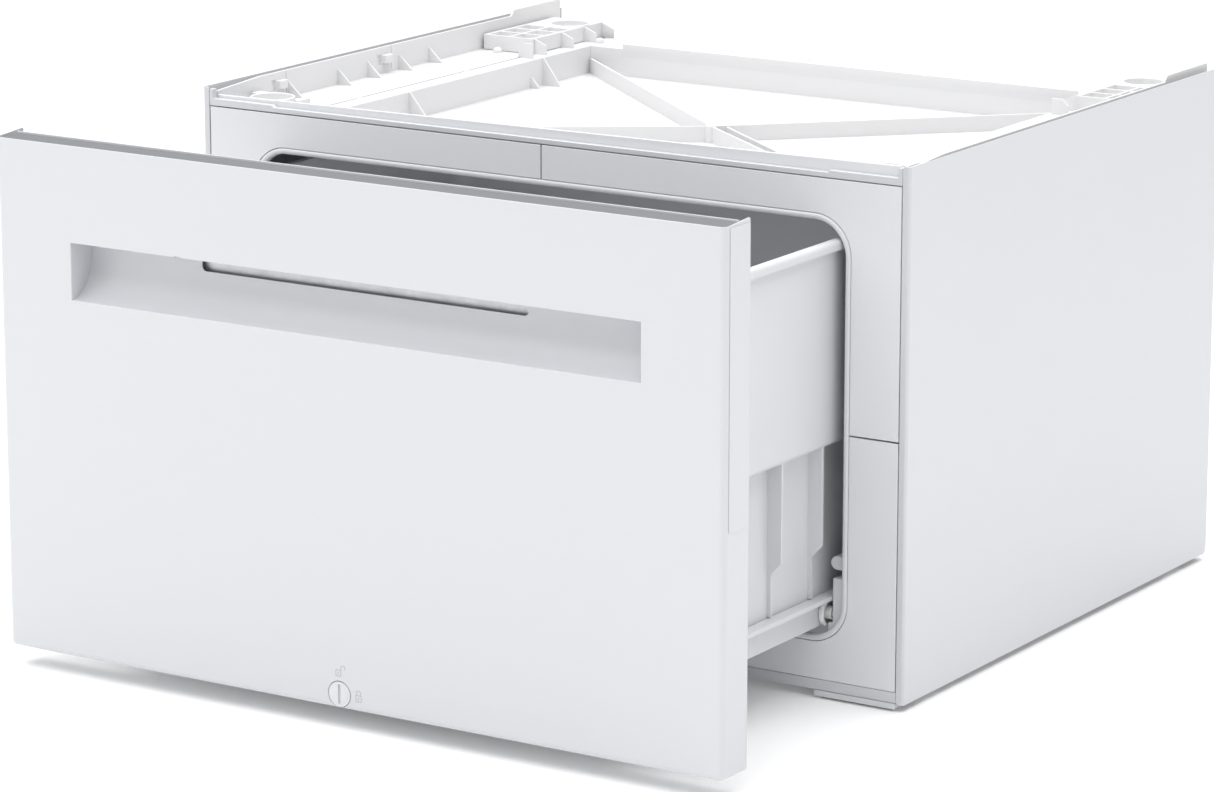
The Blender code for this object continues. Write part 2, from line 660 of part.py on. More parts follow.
def grip_recess():
    """The scooped pocket for the fingers: a quarter-round back, two ends and a slot at the top."""
    wall = 0.0015
    front = FACE + SKIN + GAP
    steps = 8
    angles = [math.pi / 2 * i / steps for i in range(steps + 1)]

    def scoop(depth, high, low):
        points = [(front + depth * math.cos(a), high - (high - low) * math.sin(a)) for a in angles]
        return points + [(front, high)]

    outer = prism("grip_recess", scoop(GRIP_DEPTH + wall, GRIP_HIGH + wall, GRIP_LOW - wall),
                  -GRIP_HALF - wall, GRIP_HALF + wall, "X")
    inner = scoop(GRIP_DEPTH, GRIP_HIGH, GRIP_LOW)
    lip = [(front - 0.01, GRIP_LOW), (front - 0.01, GRIP_HIGH)]
    hollow = prism("tool", inner[:-1] + lip + [(front, GRIP_HIGH)], -GRIP_HALF, GRIP_HALF, "X")
    cut(
        outer,
        hollow,
        slot(-0.138, 0.132, front + 0.012, front + 0.04, 0.3025, GRIP_HIGH - 0.0005),
    )
    return finish(outer, PAINT, 0.3)


def backing_panel():
    """The flat inner sheet of the drawer front, which the tub is screwed to."""
    y0 = FACE + DRAWER_THICK - 0.0012
    panel = slot(-0.2966, 0.2966, y0, y0 + 0.0012, 0.0200, 0.3800)
    panel.name = "backing_panel"
    cut(panel, cylinder("tool", 0.0110, y0 - 0.01, y0 + 0.01, "Y", (LOCK_X, LOCK_Z + 0.001)))
    return finish(panel, STEEL, 0.35, 0.6)


def flange_pad(side, s):
    """The raised upper cover on the side return of the drawer front."""
    outer = FACE_HALF
    y0, y1, low, high = FACE + 0.0048, FACE + DRAWER_THICK - 0.0004, 0.182, FACE_HIGH - 0.003
    outline = rounded(y0, y1, low, high, 0.002, 3)
    x0, x1 = outer + 0.0001, outer + 0.0005
    pad = prism("flange_pad_" + side, outline, min(s * x0, s * x1), max(s * x0, s * x1), "X")
    return finish(pad, PAINT, 0.25)


def tub_loop(half, z, inset):
    """The tub's outline at one height; its back and sides step in together, its front barely."""
    step = TUB_RIM_HALF - half
    front = TUB_FRONT + step * TUB_FRONT_LEAN + inset
    corner = 0.016 - inset
    ring = rounded(-half + inset, half - inset, front, TUB_BACK - step - inset, corner, 4)
    return [(x, y, z) for x, y in ring]


def drawer_tub():
    """The plastic box: wider above its step, with a bead round the rim and ribs below."""
    t = TUB_WALL
    levels = [
        (TUB_LOWER_HALF, TUB_LOW, 0),
        (TUB_LOWER_HALF, TUB_STEP, 0),
        (TUB_HALF, TUB_STEP + 0.001, 0),
        (TUB_HALF, TUB_RIM_LOW, 0),
        (TUB_RIM_HALF, TUB_RIM_LOW, 0),
        (TUB_RIM_HALF, TUB_HIGH, 0),
        (TUB_HALF, TUB_HIGH, t),
        (TUB_HALF, TUB_STEP + 0.001 + t, t),
        (TUB_LOWER_HALF, TUB_STEP + t, t),
        (TUB_LOWER_HALF, TUB_LOW + t, t),
    ]
    tub = loft("drawer_tub", [tub_loop(*level) for level in levels])
    for s in (-1, 1):
        y = FRONT - 0.1764
        while y < TUB_BACK - 0.05:
            inner, outer = TUB_LOWER_HALF - 0.001, 0.2390
            outline = [(inner, RAIL_TOP + 0.001), (0.2310, RAIL_TOP + 0.001), (0.2310, 0.1048),
                       (outer, 0.1140), (outer, TUB_STEP + 0.0015), (inner, TUB_STEP + 0.0015)]
            outline = [(s * x, z) for x, z in outline]
            fuse(tub, prism("tool", outline, y, y + RIB_THICK, "Y"))
            y += RIB_PITCH
    return finish(tub, PLASTIC, 0.35)


def slide_rail(side, s):
    """The drawer's rail: a web beside the tub's foot, and a flange that rides on the roller."""
    y0, y1 = TUB_FRONT + 0.001, TUB_BACK - 0.001
    web = slot(s * (TUB_LOWER_HALF + GAP), s * RAIL_IN, y0, y1, RAIL_LOW, RAIL_TOP)
    flange = slot(s * (RAIL_IN - 0.0005), s * RAIL_OUT, y0, y1, RAIL_UNDER, RAIL_TOP)
    web.name = "slide_rail_" + side
    fuse(web, flange)
    return finish(web, PLASTIC, 0.35)


def rear_roller(side, s):
    """The wheel behind the tub, which runs in the cabinet's channel, and its pin."""
    half = (REAR_ROLLER_X[1] - REAR_ROLLER_X[0]) / 2
    middle = s * (REAR_ROLLER_X[0] + REAR_ROLLER_X[1]) / 2
    bore = AXLE_R + AXLE_PLAY
    edge = 0.0012
    profile = [(bore, half), (ROLLER_R - edge, half), (ROLLER_R, half - edge),
               (ROLLER_R, edge - half), (ROLLER_R - edge, -half), (bore, -half)]
    wheel = turned("rear_roller_" + side, profile, "X", (middle, REAR_ROLLER_Y, ROLLER_Z))
    finish(settle(wheel), PLASTIC, 0.35)
    start, end = sorted((s * (RAIL_IN + 0.0004), s * (REAR_ROLLER_X[1] + 0.001)))
    pin = cylinder("rear_axle_" + side, AXLE_R, start, end, "X", (REAR_ROLLER_Y, ROLLER_Z))
    finish(pin, STEEL, 0.3, 0.8)


# ---------------------------------------------------------------- lock


def lock_housing():
    """The round socket behind the face that the lock's spindle turns in."""
    y0 = FACE + SKIN + GAP
    profile = [(0.0040, 0.011), (0.0065, 0.011), (0.0065, -0.008), (0.0085, -0.008),
               (0.0085, -0.011), (0.0040, -0.011)]
    socket = turned("lock_housing", profile, "Y", (LOCK_X, y0 + 0.011 + 0.0003, LOCK_Z))
    settle(socket)
    return finish(socket, PLASTIC, 0.4)


def lock_knob():
    """The round coin-slot head of the lock, flush with the face, and its spindle."""
    y0 = FACE + 0.0001
    head = cylinder("lock_knob", KNOB_R, y0, y0 + KNOB_THICK, "Y", (LOCK_X, LOCK_Z), 32)
    wide, half = KNOB_GROOVE, KNOB_GROOVE_LONG / 2
    cut(head, slot(LOCK_X - wide, LOCK_X + wide, y0 - 0.01, y0 + 0.0011,
                   LOCK_Z - half, LOCK_Z + half))
    spindle_end = FACE + DRAWER_THICK + 0.0055
    fuse(head, cylinder("tool", SPINDLE_R, y0 + 0.0015, spindle_end, "Y", (LOCK_X, LOCK_Z)))
    return finish(head, PLASTIC, 0.35)


def lock_head():
    """The cross bar at the spindle's end, upright when unlocked."""
    y0 = FACE + DRAWER_THICK + CLOSED_GAP + BEZEL_THICK + 0.0009
    bar = slot(LOCK_X - HEAD_WIDE / 2, LOCK_X + HEAD_WIDE / 2, y0, y0 + 0.0030,
               LOCK_Z - HEAD_LONG / 2, LOCK_Z + HEAD_LONG / 2)
    bar.name = "lock_head"
    return finish(bar, STEEL, 0.35, 0.7)


def screw(name, x, z):
    """A pan-head screw that holds the tub to the backing panel, seen inside the tub."""
    y = TUB_FRONT + (TUB_RIM_HALF - TUB_HALF) * TUB_FRONT_LEAN + TUB_WALL + GAP
    return finish(cylinder(name, 0.0042, y, y + 0.0022, "Y", (x, z), 16), STEEL, 0.3, 0.9)


def build():
    clear_scene()
    both_sides(side_panel)
    back_panel()
    bezel()
    opening_trim()
    top_front_rail()
    bottom_front_rail()
    rear_rails()
    both_sides(side_sill)
    for end in ("front", "rear"):
        both_sides(lambda side, s, end=end: foot(end, side, s))
    top_tray()
    for make in (tray_side, rear_seat, front_seat, runner, roller_bracket, front_roller, guide_peg):
        both_sides(make)
    drawer_front()
    top_strip()
    grip_recess()
    backing_panel()
    both_sides(flange_pad)
    drawer_tub()
    both_sides(slide_rail)
    both_sides(rear_roller)
    lock_housing()
    lock_knob()
    lock_head()
    for level, z in (("lower", 0.2050), ("upper", 0.2900)):
        for side, s in (("left", -1), ("right", 1)):
            screw(f"tub_screw_{level}_{side}", s * 0.170, z)


build()
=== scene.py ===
"""Looks for the floor plinth with a pull-out drawer that a washing machine stands on.

Everything is in metres, +Z up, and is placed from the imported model's own boxes.
"""

import math

import bmesh
import bpy
from mathutils import Matrix, Vector


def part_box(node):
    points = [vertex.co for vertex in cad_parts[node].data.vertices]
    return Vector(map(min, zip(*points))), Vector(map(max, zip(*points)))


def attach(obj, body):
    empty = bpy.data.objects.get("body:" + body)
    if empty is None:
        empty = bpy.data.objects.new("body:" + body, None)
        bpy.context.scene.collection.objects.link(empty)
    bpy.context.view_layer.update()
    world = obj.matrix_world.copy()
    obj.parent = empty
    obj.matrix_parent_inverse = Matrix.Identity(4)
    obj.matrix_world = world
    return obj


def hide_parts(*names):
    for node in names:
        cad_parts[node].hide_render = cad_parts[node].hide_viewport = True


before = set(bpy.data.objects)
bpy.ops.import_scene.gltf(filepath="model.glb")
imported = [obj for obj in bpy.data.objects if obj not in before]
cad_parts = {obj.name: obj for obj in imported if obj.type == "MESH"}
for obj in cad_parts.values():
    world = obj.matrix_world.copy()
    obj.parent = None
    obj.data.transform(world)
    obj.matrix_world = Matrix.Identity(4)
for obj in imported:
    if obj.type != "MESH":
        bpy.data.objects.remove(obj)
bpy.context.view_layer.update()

SIDES = (("left", -1), ("right", 1))
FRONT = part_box("bezel_upper_left")[0].y  # the cabinet's front face
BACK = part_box("side_panel_left")[1].y
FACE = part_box("drawer_front")[0].y  # the drawer's front face
FACE_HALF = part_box("drawer_front")[1].x
FACE_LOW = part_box("drawer_front")[0].z
FACE_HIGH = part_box("drawer_front")[1].z
FACE_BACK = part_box("drawer_front")[1].y
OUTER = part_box("side_panel_right")[1].x
PANEL_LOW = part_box("side_panel_right")[0].z
PANEL_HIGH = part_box("side_panel_right")[1].z
TRAY_EDGE = 0.364  # top of the strips beside the sunk deck
ABOVE = 0.4  # over the whole object, where upward cuts end
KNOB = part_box("lock_knob")
LOCK_X = (KNOB[0].x + KNOB[1].x) / 2
LOCK_Z = (KNOB[0].z + KNOB[1].z) / 2

# ------------------------------------------------------------------ materials

MATERIALS = {}


def finish_of(
    slot,
    colour,
    rough,
    metallic=0.0,
    specular=0.5,
    coat=0.0,
    tint=0.02,
    patch=6.0,
    rough_swing=0.04,
    grain=900.0,
    grain_height=0.00002,
    grain_strength=0.3,
    wave=0.0,
    stretch=(1, 1, 1),
    subsurface=0.0,
):
    """A procedural finish: slow tint and sheen changes, and a fine grain in its surface."""
    made = bpy.data.materials.new(slot)
    made.use_nodes = True
    tree = made.node_tree
    shader = tree.nodes["Principled BSDF"]
    shader.inputs["Metallic"].default_value = metallic
    shader.inputs["Specular IOR Level"].default_value = specular
    shader.inputs["Coat Weight"].default_value = coat
    shader.inputs["Coat Roughness"].default_value = 0.15
    shader.inputs["Subsurface Weight"].default_value = subsurface
    shader.inputs["Subsurface Scale"].default_value = 0.004
    shader.inputs["Subsurface Radius"].default_value = (1, 0.9, 0.8)

    def node(kind, **values):
        new = tree.nodes.new(kind)
        for key, value in values.items():
            new.inputs[key.replace("_", " ")].default_value = value
        return new

    def link(source, output, target, entry):
        tree.links.new(source.outputs[output], target.inputs[entry])

    place = tree.nodes.new("ShaderNodeTexCoord")
    turn = tree.nodes.new("ShaderNodeMapping")
    turn.inputs["Scale"].default_value = stretch
    link(place, "Object", turn, "Vector")

    slow = node("ShaderNodeTexNoise", Scale=patch, Detail=4.0, Roughness=0.55)
    link(turn, "Vector", slow, "Vector")
    shade = tree.nodes.new("ShaderNodeMix")
    shade.data_type = "RGBA"
    low, high = [tuple(min(1.0, c * (1 + k)) for c in colour) + (1,) for k in (-tint, tint)]
    shade.inputs["A"].default_value = low
    shade.inputs["B"].default_value = high
    tree.links.new(slow.outputs["Fac"], shade.inputs["Factor"])
    tree.links.new(shade.outputs["Result"], shader.inputs["Base Color"])

    sheen = node("ShaderNodeTexNoise", Scale=patch * 7, Detail=6.0, Roughness=0.6)
    link(turn, "Vector", sheen, "Vector")
    spread = node("ShaderNodeMapRange", To_Min=rough - rough_swing, To_Max=rough + rough_swing)
    spread.inputs["From Min"].default_value = 0.3
    spread.inputs["From Max"].default_value = 0.7
    link(sheen, "Fac", spread, "Value")
    link(spread, "Result", shader, "Roughness")

    fine = node("ShaderNodeTexNoise", Scale=grain, Detail=3.0, Roughness=0.6)
    link(turn, "Vector", fine, "Vector")
    bump = node("ShaderNodeBump", Strength=grain_strength, Distance=grain_height)
    link(fine, "Fac", bump, "Height")
    if wave:
        swell = node("ShaderNodeTexNoise", Scale=25.0, Detail=1.0, Roughness=0.4)
        link(turn, "Vector", swell, "Vector")
        dent = node("ShaderNodeBump", Strength=wave, Distance=0.0004)
        link(swell, "Fac", dent, "Height")
        link(dent, "Normal", bump, "Normal")
    link(bump, "Normal", shader, "Normal")
    MATERIALS[slot] = made


finish_of("painted_steel", (0.615, 0.627, 0.652), 0.36, coat=0.15, grain=700, grain_height=0.00003,
          grain_strength=0.07, wave=0.02, tint=0.004, rough_swing=0.015)
finish_of("bezel_plastic", (0.735, 0.745, 0.77), 0.52, grain=2600, grain_height=0.00006,
          grain_strength=0.3, tint=0.008)
finish_of("deck_plastic", (0.715, 0.715, 0.722), 0.45, grain=1800, grain_height=0.00004,
          grain_strength=0.25, tint=0.01, subsurface=0.05)
finish_of("moulded_plastic", (0.675, 0.685, 0.705), 0.42, grain=1800, grain_height=0.00004,
          grain_strength=0.25, tint=0.01)
finish_of("tub_plastic", (0.66, 0.67, 0.69), 0.38, grain=1500, grain_height=0.00004,
          grain_strength=0.2, tint=0.01, subsurface=0.04)
finish_of("roller_plastic", (0.80, 0.80, 0.79), 0.34, grain=1500, grain_height=0.00003,
          tint=0.015, subsurface=0.08)
finish_of("grey_strip", (0.16, 0.163, 0.172), 0.45, grain=1200, grain_height=0.00003, tint=0.02)
finish_of("sign_grey", (0.33, 0.335, 0.345), 0.5, grain=1200, grain_height=0.00002, tint=0.02)
finish_of("zinc_steel", (0.55, 0.56, 0.58), 0.42, metallic=0.85, grain=300, patch=45,
          tint=0.10, rough_swing=0.10, grain_height=0.00003, wave=0.04)
finish_of("bright_steel", (0.66, 0.67, 0.69), 0.26, metallic=1.0, grain=900, patch=60,
          tint=0.05, rough_swing=0.06, stretch=(1, 1, 6))
finish_of("pad_rubber", (0.035, 0.035, 0.036), 0.75, grain=1500, grain_height=0.0001,
          grain_strength=0.6, tint=0.12)

# ------------------------------------------------------------------ mesh tools

SPREAD = {
    "X": lambda u, v, w: (w, u, v),
    "Y": lambda u, v, w: (u, w, v),
    "Z": lambda u, v, w: (u, v, w),
}


def link(obj):
    bpy.context.scene.collection.objects.link(obj)
    return obj


def solid(bm, name="tool"):
    """An object with this mesh, its faces turned outwards."""
    bmesh.ops.recalc_face_normals(bm, faces=bm.faces)
    mesh = bpy.data.meshes.new(name)
    bm.to_mesh(mesh)
    bm.free()
    return link(bpy.data.objects.new(name, mesh))


def prism(outline, start, end, axis):
    """An outline drawn out along an axis. It is (y, z) for X, (x, z) for Y, (x, y) for Z."""
    bm = bmesh.new()
    rows = [[bm.verts.new(SPREAD[axis](u, v, w)) for u, v in outline] for w in (start, end)]
    count = len(outline)
    for i in range(count):
        j = (i + 1) % count
        bm.faces.new((rows[0][i], rows[0][j], rows[1][j], rows[1][i]))
    bm.faces.new(rows[0][::-1])
    bm.faces.new(rows[1])
    return solid(bm)


def box(x0, x1, y0, y1, z0, z1):
    """A block between limits given in either order."""
    return prism([(x0, y0), (x1, y0), (x1, y1), (x0, y1)], min(z0, z1), max(z0, z1), "Z")


def arc(centre, radius, start, end, steps=6):
    angles = [math.radians(start + (end - start) * i / steps) for i in range(steps + 1)]
    return [(centre[0] + radius * math.cos(a), centre[1] + radius * math.sin(a)) for a in angles]


def rounded(left, right, low, high, radius, steps=6):
    """A rectangle with rounded corners, anticlockwise."""
    r = radius
    return (
        arc((right - r, low + r), r, -90, 0, steps)
        + arc((right - r, high - r), r, 0, 90, steps)
        + arc((left + r, high - r), r, 90, 180, steps)
        + arc((left + r, low + r), r, 180, 270, steps)
    )


def lathe(profile, axis, centre, steps=40):
    """A closed profile of (radius, height) turned about an axis through centre."""
    bm = bmesh.new()
    rings = []
    for radius, height in profile:
        if radius < 1e-7:
            point = bm.verts.new(SPREAD[axis](0, 0, height))
            rings.append([point] * steps)
            continue
        ring = []
        for i in range(steps):
            a = 2 * math.pi * i / steps
            u, v = radius * math.cos(a), radius * math.sin(a)
            ring.append(bm.verts.new(SPREAD[axis](u, v, height)))
        rings.append(ring)
    for first, second in zip(rings, rings[1:] + rings[:1]):
        for i in range(steps):
            j = (i + 1) % steps
            corners = []
            for vert in (first[i], first[j], second[j], second[i]):
                if vert not in corners:
                    corners.append(vert)
            if len(corners) > 2:
                bm.faces.new(corners)
    obj = solid(bm)
    obj.data.transform(Matrix.Translation(centre))
    return obj


def loft(rings, closed=False):
    """Skins equal-sized rings of points; ends are capped unless the rings close on themselves."""
    bm = bmesh.new()
    made = [[bm.verts.new(point) for point in ring] for ring in rings]
    pairs = list(zip(made, made[1:]))
    if closed:
        pairs.append((made[-1], made[0]))
    count = len(made[0])
    for first, second in pairs:
        for i in range(count):
            j = (i + 1) % count
            bm.faces.new((first[i], first[j], second[j], second[i]))
    if not closed:
        bm.faces.new(made[0][::-1])
        bm.faces.new(made[-1])
    return solid(bm)


def settle(obj):
    """Puts the evaluated mesh in place of the object's modifiers."""
    graph = bpy.context.evaluated_depsgraph_get()
    old = obj.data
    obj.data = bpy.data.meshes.new_from_object(obj.evaluated_get(graph))
    obj.modifiers.clear()
    bpy.data.meshes.remove(old)
    return obj


def work(base, operation, tools):
    """Joins tools to base, or cuts them from it, in one pass."""
    group = bpy.data.collections.new("tools")
    bpy.context.scene.collection.children.link(group)
    for tool in tools:
        group.objects.link(tool)
    change = base.modifiers.new(operation, "BOOLEAN")
    change.operation = operation
    change.operand_type = "COLLECTION"
    change.collection = group
    change.solver = "EXACT"
    settle(base)
    for tool in tools:
        mesh = tool.data
        bpy.data.objects.remove(tool)
        bpy.data.meshes.remove(mesh)
    bpy.data.collections.remove(group)
    return base


def gather(pieces):
    """One object out of several closed pieces, each left as its own shell."""
    bm = bmesh.new()
    for piece in pieces:
        bm.from_mesh(piece.data)
        mesh = piece.data
        bpy.data.objects.remove(piece)
        bpy.data.meshes.remove(mesh)
    mesh = bpy.data.meshes.new("gathered")
    bm.to_mesh(mesh)
    bm.free()
    return link(bpy.data.objects.new("gathered", mesh))


def fuse(base, *tools):
    return work(base, "UNION", tools)


def cut(base, *tools):
    return work(base, "DIFFERENCE", tools)


def tidy(obj, flat=0.4):
    """Welds a mesh and, at a flat angle above zero, joins its flat faces."""
    bm = bmesh.new()
    bm.from_mesh(obj.data)
    bmesh.ops.remove_doubles(bm, verts=bm.verts, dist=2e-6)
    if flat:
        bmesh.ops.dissolve_limit(
            bm, angle_limit=math.radians(flat), verts=bm.verts, edges=bm.edges
        )
    bmesh.ops.recalc_face_normals(bm, faces=bm.faces)
    bm.to_mesh(obj.data)
    bm.free()
    return obj


def copy_of(node):
    """The CAD node's own mesh in a new object, welded, with its flat faces joined."""
    obj = link(bpy.data.objects.new("copy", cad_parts[node].data.copy()))
    obj.data.materials.clear()
    return tidy(obj)


def dress(obj, name, body, slot, replaces=(), edge=0.0, segments=2, sharp=40, paint=None, flat=0.4):
    """Rounds a piece's edges, gives it its finish, and fixes it to its body."""
    obj.name = name
    obj.data.name = name
    if edge and flat is not None:
        tidy(obj, flat)
    if edge:
        bevel = obj.modifiers.new("edge", "BEVEL")
        bevel.width = edge
        bevel.segments = segments
        bevel.limit_method = "ANGLE"
        bevel.angle_limit = math.radians(sharp)
        bevel.use_clamp_overlap = False
        bevel.miter_outer = "MITER_ARC"
        settle(obj)
    obj.data.shade_smooth()
    obj.data.set_sharp_from_angle(angle=math.radians(sharp + 6))
    weigh = obj.modifiers.new("weigh", "WEIGHTED_NORMAL")
    weigh.keep_sharp = True
    obj.data.materials.clear()
    obj.data.materials.append(MATERIALS[paint or slot])
    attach(obj, body)
    if replaces:
        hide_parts(*replaces)
    return obj


def refine(node, body, slot, edge=0.0004, segments=2, sharp=40):
    """A CAD node's own shape with rounded edges."""
    return dress(copy_of(node), "fine_" + node, body, slot, (node,), edge, segments, sharp)


# ------------------------------------------------------------------ drawer face

SKIN_Y = FACE + 0.0001  # the painted face stands this far behind the lock's signs
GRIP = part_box("grip_recess")
GRIP_WALL = 0.0015
GRIP_HALF = GRIP[1].x - GRIP_WALL
GRIP_LOW = GRIP[0].z + GRIP_WALL
GRIP_HIGH = GRIP[1].z - GRIP_WALL
GRIP_DEPTH = GRIP[1].y - GRIP_WALL - FACE
FACE_ROLL = 0.0045
TOP_DROP = 0.0020  # the face's top edge lies this far below its side returns


def face_shape():
    """The steel face: one skin with rolled edges, side returns and the scooped grip."""
    rim = 0.0010  # radius of the edge round the grip
    top = FACE_HIGH - TOP_DROP
    back = FACE_BACK
    bm = bmesh.new()
    bmesh.ops.create_cube(bm, size=1)
    size = Vector((2 * FACE_HALF, back - SKIN_Y, top - FACE_LOW))
    middle = Vector((0, (SKIN_Y + back) / 2, (top + FACE_LOW) / 2))
    bmesh.ops.scale(bm, vec=size, verts=bm.verts)
    bmesh.ops.translate(bm, vec=middle, verts=bm.verts)
    gone = [f for f in bm.faces if f.normal.y > 0.9 or f.normal.z > 0.9]
    bmesh.ops.delete(bm, geom=gone, context="FACES_ONLY")
    folds = [e for e in bm.edges if len(e.link_faces) == 2]
    bmesh.ops.bevel(bm, geom=folds, offset=FACE_ROLL, segments=10, profile=0.5, affect="EDGES")

    def slice_at(axis, value):
        normal = Vector((axis == "X", axis == "Y", axis == "Z"))
        geom = bm.verts[:] + bm.edges[:] + bm.faces[:]
        bmesh.ops.bisect_plane(bm, geom=geom, plane_co=normal * value, plane_no=normal)

    outside = [rim * share for share in (1.0, 0.62, 0.32, 0.12, 0.0)]
    inside_step = 0.00012
    for s in (-1, 1):
        for gap in outside:
            slice_at("X", s * (GRIP_HALF + gap + inside_step))
        slice_at("X", s * GRIP_HALF)
        slice_at("X", s * (GRIP_HALF - 0.004))
    steps = 20
    bend = [math.pi / 2 * (1 - i / steps) for i in range(steps + 1)]
    high = GRIP_HIGH - GRIP_LOW
    scoop = [(SKIN_Y + rim, GRIP_LOW)]
    scoop += [
        (SKIN_Y + rim + (GRIP_DEPTH - rim) * math.cos(a), GRIP_HIGH - high * math.sin(a))
        for a in bend[1:]
    ]
    scoop += [(SKIN_Y + rim + (GRIP_DEPTH - rim) * 0.5, GRIP_HIGH), (SKIN_Y + rim, GRIP_HIGH)]
    count = len(scoop)
    levels = [
        GRIP_LOW + inside_step + (high - 2 * inside_step) * i / (count - 1) for i in range(count)
    ]
    for level in levels:
        slice_at("Z", level)
    for gap in outside:
        slice_at("Z", GRIP_LOW - gap)
        slice_at("Z", GRIP_HIGH + gap)
    thick = back - SKIN_Y
    tip = 0.0013  # radius of the side returns' rear top corner
    for behind in (0.0012, 0.0026, 0.0080, 0.0160, 0.0240):
        slice_at("Y", SKIN_Y + behind)
    for share in (1.0, 0.6, 0.3, 0.1):
        slice_at("Y", back - tip * share)
    slice_at("Z", top - 0.0003)
    for v in bm.verts:
        on_face = abs(v.co.y - SKIN_Y) < 1e-6
        in_height = GRIP_LOW + 1e-6 < v.co.z < GRIP_HIGH - 1e-6
        if on_face and in_height and abs(v.co.x) <= GRIP_HALF + 1e-6:
            k = min(range(count), key=lambda i: abs(levels[i] - v.co.z))
            v.co.y, v.co.z = scoop[k]
            continue
        if on_face:
            over = max(0, abs(v.co.x) - GRIP_HALF - inside_step)
            up = max(0, GRIP_LOW - v.co.z, v.co.z - GRIP_HIGH)
            away = math.hypot(over, up)
            if away < rim:
                v.co.y += rim - math.sqrt(max(0, rim * rim - (rim - away) ** 2))
                continue
        if v.co.z > top - 0.00001:
            behind = v.co.y - SKIN_Y
            rise = TOP_DROP * min(1, max(0, behind - 0.0008) / (thick - tip))
            past = max(0, behind - thick + tip)
            v.co.z += rise - tip + math.sqrt(max(0, tip * tip - past * past))
            if behind < 0.0002 or abs(v.co.x) < FACE_HALF - FACE_ROLL:
                v.co.y += 0.00035
    bmesh.ops.remove_doubles(bm, verts=bm.verts, dist=2e-5)
    bmesh.ops.dissolve_degenerate(bm, edges=bm.edges, dist=1e-5)
    loose = [e for e in bm.edges if not e.link_faces]
    bmesh.ops.delete(bm, geom=loose, context="EDGES")
    face = solid(bm)
    skin = face.modifiers.new("skin", "SOLIDIFY")
    skin.thickness = 0.0009
    skin.offset = -1
    settle(face)
    finger_left, finger_right, finger_low = -0.1385, 0.132, 0.3025  # the slot at the grip's top
    opening = rounded(finger_left, finger_right, finger_low, GRIP_HIGH - 0.0012, 0.0042, 6)
    knob_radius = KNOB[1].x - LOCK_X
    hole = [(0.0, 0.004), (0.0, -0.004), (knob_radius + 0.0010, -0.004),
            (knob_radius + 0.0010, -0.0002), (knob_radius + 0.0004, 0.0005),
            (knob_radius + 0.0004, 0.004)]
    cut(
        face,
        prism(opening, FACE + 0.008, FACE_BACK, "Y"),
        lathe(hole, "Y", (LOCK_X, SKIN_Y, LOCK_Z), 48),
        box(finger_left - 0.0051, finger_left - 0.0001, FACE - 0.001, FACE + 0.009,
            GRIP_HIGH - 0.0004, GRIP_HIGH + 0.0009),
    )
    return dress(face, "drawer_face", "drawer", "painted_steel", ("drawer_front", "grip_recess"),
                 sharp=32)


def top_cap():
    """The grey closing strip on top of the face, with the sheet's light upstand behind it."""
    low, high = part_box("top_strip")
    half = high.x
    level = high.z - 0.0015
    back = high.y - 0.0012
    strip = [(low.y - 0.0009, level - 0.0014), (back, level - 0.0014), (back, level),
             (low.y - 0.0004, level), (low.y - 0.0009, level - 0.0005)]
    dress(prism(strip, -half, half, "X"), "strip_plate", "drawer", "grey_strip", ("top_strip",),
          edge=0.0002)
    lip = [(back + 0.0001, level - 0.0015), (high.y, level - 0.0015), (high.y, high.z),
           (back + 0.0001, high.z)]
    dress(prism(lip, -half, half, "X"), "strip_upstand", "drawer", "painted_steel", edge=0.0004)


